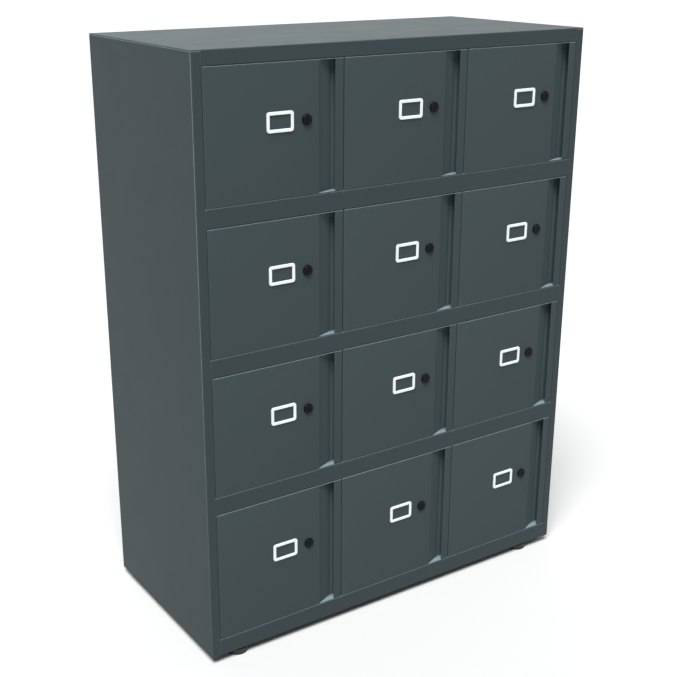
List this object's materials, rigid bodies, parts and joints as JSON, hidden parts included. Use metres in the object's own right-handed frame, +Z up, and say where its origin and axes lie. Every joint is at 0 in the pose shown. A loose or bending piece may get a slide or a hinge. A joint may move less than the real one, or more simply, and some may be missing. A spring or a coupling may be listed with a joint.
{
  "type": "parcel locker",
  "caption": "Free-standing steel locker cabinet with rows of hinged compartment doors, finger-pull recesses, card frames, cam locks and levelling feet.",
  "frame": {"origin": "centre of the locker's floor area, on the floor under the feet", "axes": "+X to the locker's right as seen from the front, +Y from the doors to the back, +Z up"},
  "size_m": [1, 0.4746, 1.315],
  "materials": {
    "cabinet_paint": "fine-textured matt powder coat",
    "door_paint": "fine-textured matt powder coat",
    "card_plastic": "moulded, light grey",
    "lock_black": "black, semi-gloss",
    "lock_steel": "black plug face, zinc-plated cam",
    "foot_plastic": "moulded black"
  },
  "bodies": {
    "cabinet": {"side_panel_left": "cabinet_paint", "side_panel_right": "cabinet_paint", "top_panel": "cabinet_paint", "base_panel": "cabinet_paint", "back_panel": "cabinet_paint", "shelves": "cabinet_paint", "dividers": "cabinet_paint", "hinge_pins": "cabinet_paint"},
    "door_r1c1": {"door_panel_r1c1": "door_paint", "card_holder_r1c1": "card_plastic", "lock_housing_r1c1": "lock_black"},
    "lock_r1c1": {"lock_core_r1c1": "lock_steel"},
    "door_r1c2": {"door_panel_r1c2": "door_paint", "card_holder_r1c2": "card_plastic", "lock_housing_r1c2": "lock_black"},
    "lock_r1c2": {"lock_core_r1c2": "lock_steel"},
    "door_r1c3": {"door_panel_r1c3": "door_paint", "card_holder_r1c3": "card_plastic", "lock_housing_r1c3": "lock_black"},
    "lock_r1c3": {"lock_core_r1c3": "lock_steel"},
    "door_r2c1": {"door_panel_r2c1": "door_paint", "card_holder_r2c1": "card_plastic", "lock_housing_r2c1": "lock_black"},
    "lock_r2c1": {"lock_core_r2c1": "lock_steel"},
    "door_r2c2": {"door_panel_r2c2": "door_paint", "card_holder_r2c2": "card_plastic", "lock_housing_r2c2": "lock_black"},
    "lock_r2c2": {"lock_core_r2c2": "lock_steel"},
    "door_r2c3": {"door_panel_r2c3": "door_paint", "card_holder_r2c3": "card_plastic", "lock_housing_r2c3": "lock_black"},
    "lock_r2c3": {"lock_core_r2c3": "lock_steel"},
    "door_r3c1": {"door_panel_r3c1": "door_paint", "card_holder_r3c1": "card_plastic", "lock_housing_r3c1": "lock_black"},
    "lock_r3c1": {"lock_core_r3c1": "lock_steel"},
    "door_r3c2": {"door_panel_r3c2": "door_paint", "card_holder_r3c2": "card_plastic", "lock_housing_r3c2": "lock_black"},
    "lock_r3c2": {"lock_core_r3c2": "lock_steel"},
    "door_r3c3": {"door_panel_r3c3": "door_paint", "card_holder_r3c3": "card_plastic", "lock_housing_r3c3": "lock_black"},
    "lock_r3c3": {"lock_core_r3c3": "lock_steel"},
    "door_r4c1": {"door_panel_r4c1": "door_paint", "card_holder_r4c1": "card_plastic", "lock_housing_r4c1": "lock_black"},
    "lock_r4c1": {"lock_core_r4c1": "lock_steel"},
    "door_r4c2": {"door_panel_r4c2": "door_paint", "card_holder_r4c2": "card_plastic", "lock_housing_r4c2": "lock_black"},
    "lock_r4c2": {"lock_core_r4c2": "lock_steel"},
    "door_r4c3": {"door_panel_r4c3": "door_paint", "card_holder_r4c3": "card_plastic", "lock_housing_r4c3": "lock_black"},
    "lock_r4c3": {"lock_core_r4c3": "lock_steel"},
    "foot_front_left": {"foot_front_left": "foot_plastic"},
    "foot_front_right": {"foot_front_right": "foot_plastic"},
    "foot_rear_left": {"foot_rear_left": "foot_plastic"},
    "foot_rear_right": {"foot_rear_right": "foot_plastic"}
  },
  "joints": [
    {"name": "door_hinge_r1c1", "type": "hinge", "parent": "cabinet", "child": "door_r1c1", "pos_m": [-0.4694, -0.22825, 1.151], "axis": [0, 0, -1], "range_deg": [0, 110]},
    {"name": "lock_turn_r1c1", "type": "hinge", "parent": "door_r1c1", "child": "lock_r1c1", "pos_m": [-0.25, -0.23275, 1.169], "axis": [0, -1, 0], "range_deg": [0, 90]},
    {"name": "door_hinge_r1c2", "type": "hinge", "parent": "cabinet", "child": "door_r1c2", "pos_m": [-0.1494, -0.22825, 1.151], "axis": [0, 0, -1], "range_deg": [0, 110]},
    {"name": "lock_turn_r1c2", "type": "hinge", "parent": "door_r1c2", "child": "lock_r1c2", "pos_m": [0.07, -0.23275, 1.169], "axis": [0, -1, 0], "range_deg": [0, 90]},
    {"name": "door_hinge_r1c3", "type": "hinge", "parent": "cabinet", "child": "door_r1c3", "pos_m": [0.1706, -0.22825, 1.151], "axis": [0, 0, -1], "range_deg": [0, 110]},
    {"name": "lock_turn_r1c3", "type": "hinge", "parent": "door_r1c3", "child": "lock_r1c3", "pos_m": [0.39, -0.23275, 1.169], "axis": [0, -1, 0], "range_deg": [0, 90]},
    {"name": "door_hinge_r2c1", "type": "hinge", "parent": "cabinet", "child": "door_r2c1", "pos_m": [-0.4694, -0.22825, 0.843], "axis": [0, 0, -1], "range_deg": [0, 110]},
    {"name": "lock_turn_r2c1", "type": "hinge", "parent": "door_r2c1", "child": "lock_r2c1", "pos_m": [-0.25, -0.23275, 0.861], "axis": [0, -1, 0], "range_deg": [0, 90]},
    {"name": "door_hinge_r2c2", "type": "hinge", "parent": "cabinet", "child": "door_r2c2", "pos_m": [-0.1494, -0.22825, 0.843], "axis": [0, 0, -1], "range_deg": [0, 110]},
    {"name": "lock_turn_r2c2", "type": "hinge", "parent": "door_r2c2", "child": "lock_r2c2", "pos_m": [0.07, -0.23275, 0.861], "axis": [0, -1, 0], "range_deg": [0, 90]},
    {"name": "door_hinge_r2c3", "type": "hinge", "parent": "cabinet", "child": "door_r2c3", "pos_m": [0.1706, -0.22825, 0.843], "axis": [0, 0, -1], "range_deg": [0, 110]},
    {"name": "lock_turn_r2c3", "type": "hinge", "parent": "door_r2c3", "child": "lock_r2c3", "pos_m": [0.39, -0.23275, 0.861], "axis": [0, -1, 0], "range_deg": [0, 90]},
    {"name": "door_hinge_r3c1", "type": "hinge", "parent": "cabinet", "child": "door_r3c1", "pos_m": [-0.4694, -0.22825, 0.535], "axis": [0, 0, -1], "range_deg": [0, 110]},
    {"name": "lock_turn_r3c1", "type": "hinge", "parent": "door_r3c1", "child": "lock_r3c1", "pos_m": [-0.25, -0.23275, 0.553], "axis": [0, -1, 0], "range_deg": [0, 90]},
    {"name": "door_hinge_r3c2", "type": "hinge", "parent": "cabinet", "child": "door_r3c2", "pos_m": [-0.1494, -0.22825, 0.535], "axis": [0, 0, -1], "range_deg": [0, 110]},
    {"name": "lock_turn_r3c2", "type": "hinge", "parent": "door_r3c2", "child": "lock_r3c2", "pos_m": [0.07, -0.23275, 0.553], "axis": [0, -1, 0], "range_deg": [0, 90]},
    {"name": "door_hinge_r3c3", "type": "hinge", "parent": "cabinet", "child": "door_r3c3", "pos_m": [0.1706, -0.22825, 0.535], "axis": [0, 0, -1], "range_deg": [0, 110]},
    {"name": "lock_turn_r3c3", "type": "hinge", "parent": "door_r3c3", "child": "lock_r3c3", "pos_m": [0.39, -0.23275, 0.553], "axis": [0, -1, 0], "range_deg": [0, 90]},
    {"name": "door_hinge_r4c1", "type": "hinge", "parent": "cabinet", "child": "door_r4c1", "pos_m": [-0.4694, -0.22825, 0.209], "axis": [0, 0, -1], "range_deg": [0, 110]},
    {"name": "lock_turn_r4c1", "type": "hinge", "parent": "door_r4c1", "child": "lock_r4c1", "pos_m": [-0.25, -0.23275, 0.227], "axis": [0, -1, 0], "range_deg": [0, 90]},
    {"name": "door_hinge_r4c2", "type": "hinge", "parent": "cabinet", "child": "door_r4c2", "pos_m": [-0.1494, -0.22825, 0.209], "axis": [0, 0, -1], "range_deg": [0, 110]},
    {"name": "lock_turn_r4c2", "type": "hinge", "parent": "door_r4c2", "child": "lock_r4c2", "pos_m": [0.07, -0.23275, 0.227], "axis": [0, -1, 0], "range_deg": [0, 90]},
    {"name": "door_hinge_r4c3", "type": "hinge", "parent": "cabinet", "child": "door_r4c3", "pos_m": [0.1706, -0.22825, 0.209], "axis": [0, 0, -1], "range_deg": [0, 110]},
    {"name": "lock_turn_r4c3", "type": "hinge", "parent": "door_r4c3", "child": "lock_r4c3", "pos_m": [0.39, -0.23275, 0.227], "axis": [0, -1, 0], "range_deg": [0, 90]},
    {"name": "foot_level_front_left", "type": "slide", "parent": "cabinet", "child": "foot_front_left", "axis": [0, 0, -1], "range_m": [0, 0.012]},
    {"name": "foot_level_front_right", "type": "slide", "parent": "cabinet", "child": "foot_front_right", "axis": [0, 0, -1], "range_m": [0, 0.012]},
    {"name": "foot_level_rear_left", "type": "slide", "parent": "cabinet", "child": "foot_rear_left", "axis": [0, 0, -1], "range_m": [0, 0.012]},
    {"name": "foot_level_rear_right", "type": "slide", "parent": "cabinet", "child": "foot_rear_right", "axis": [0, 0, -1], "range_m": [0, 0.012]}
  ]
}
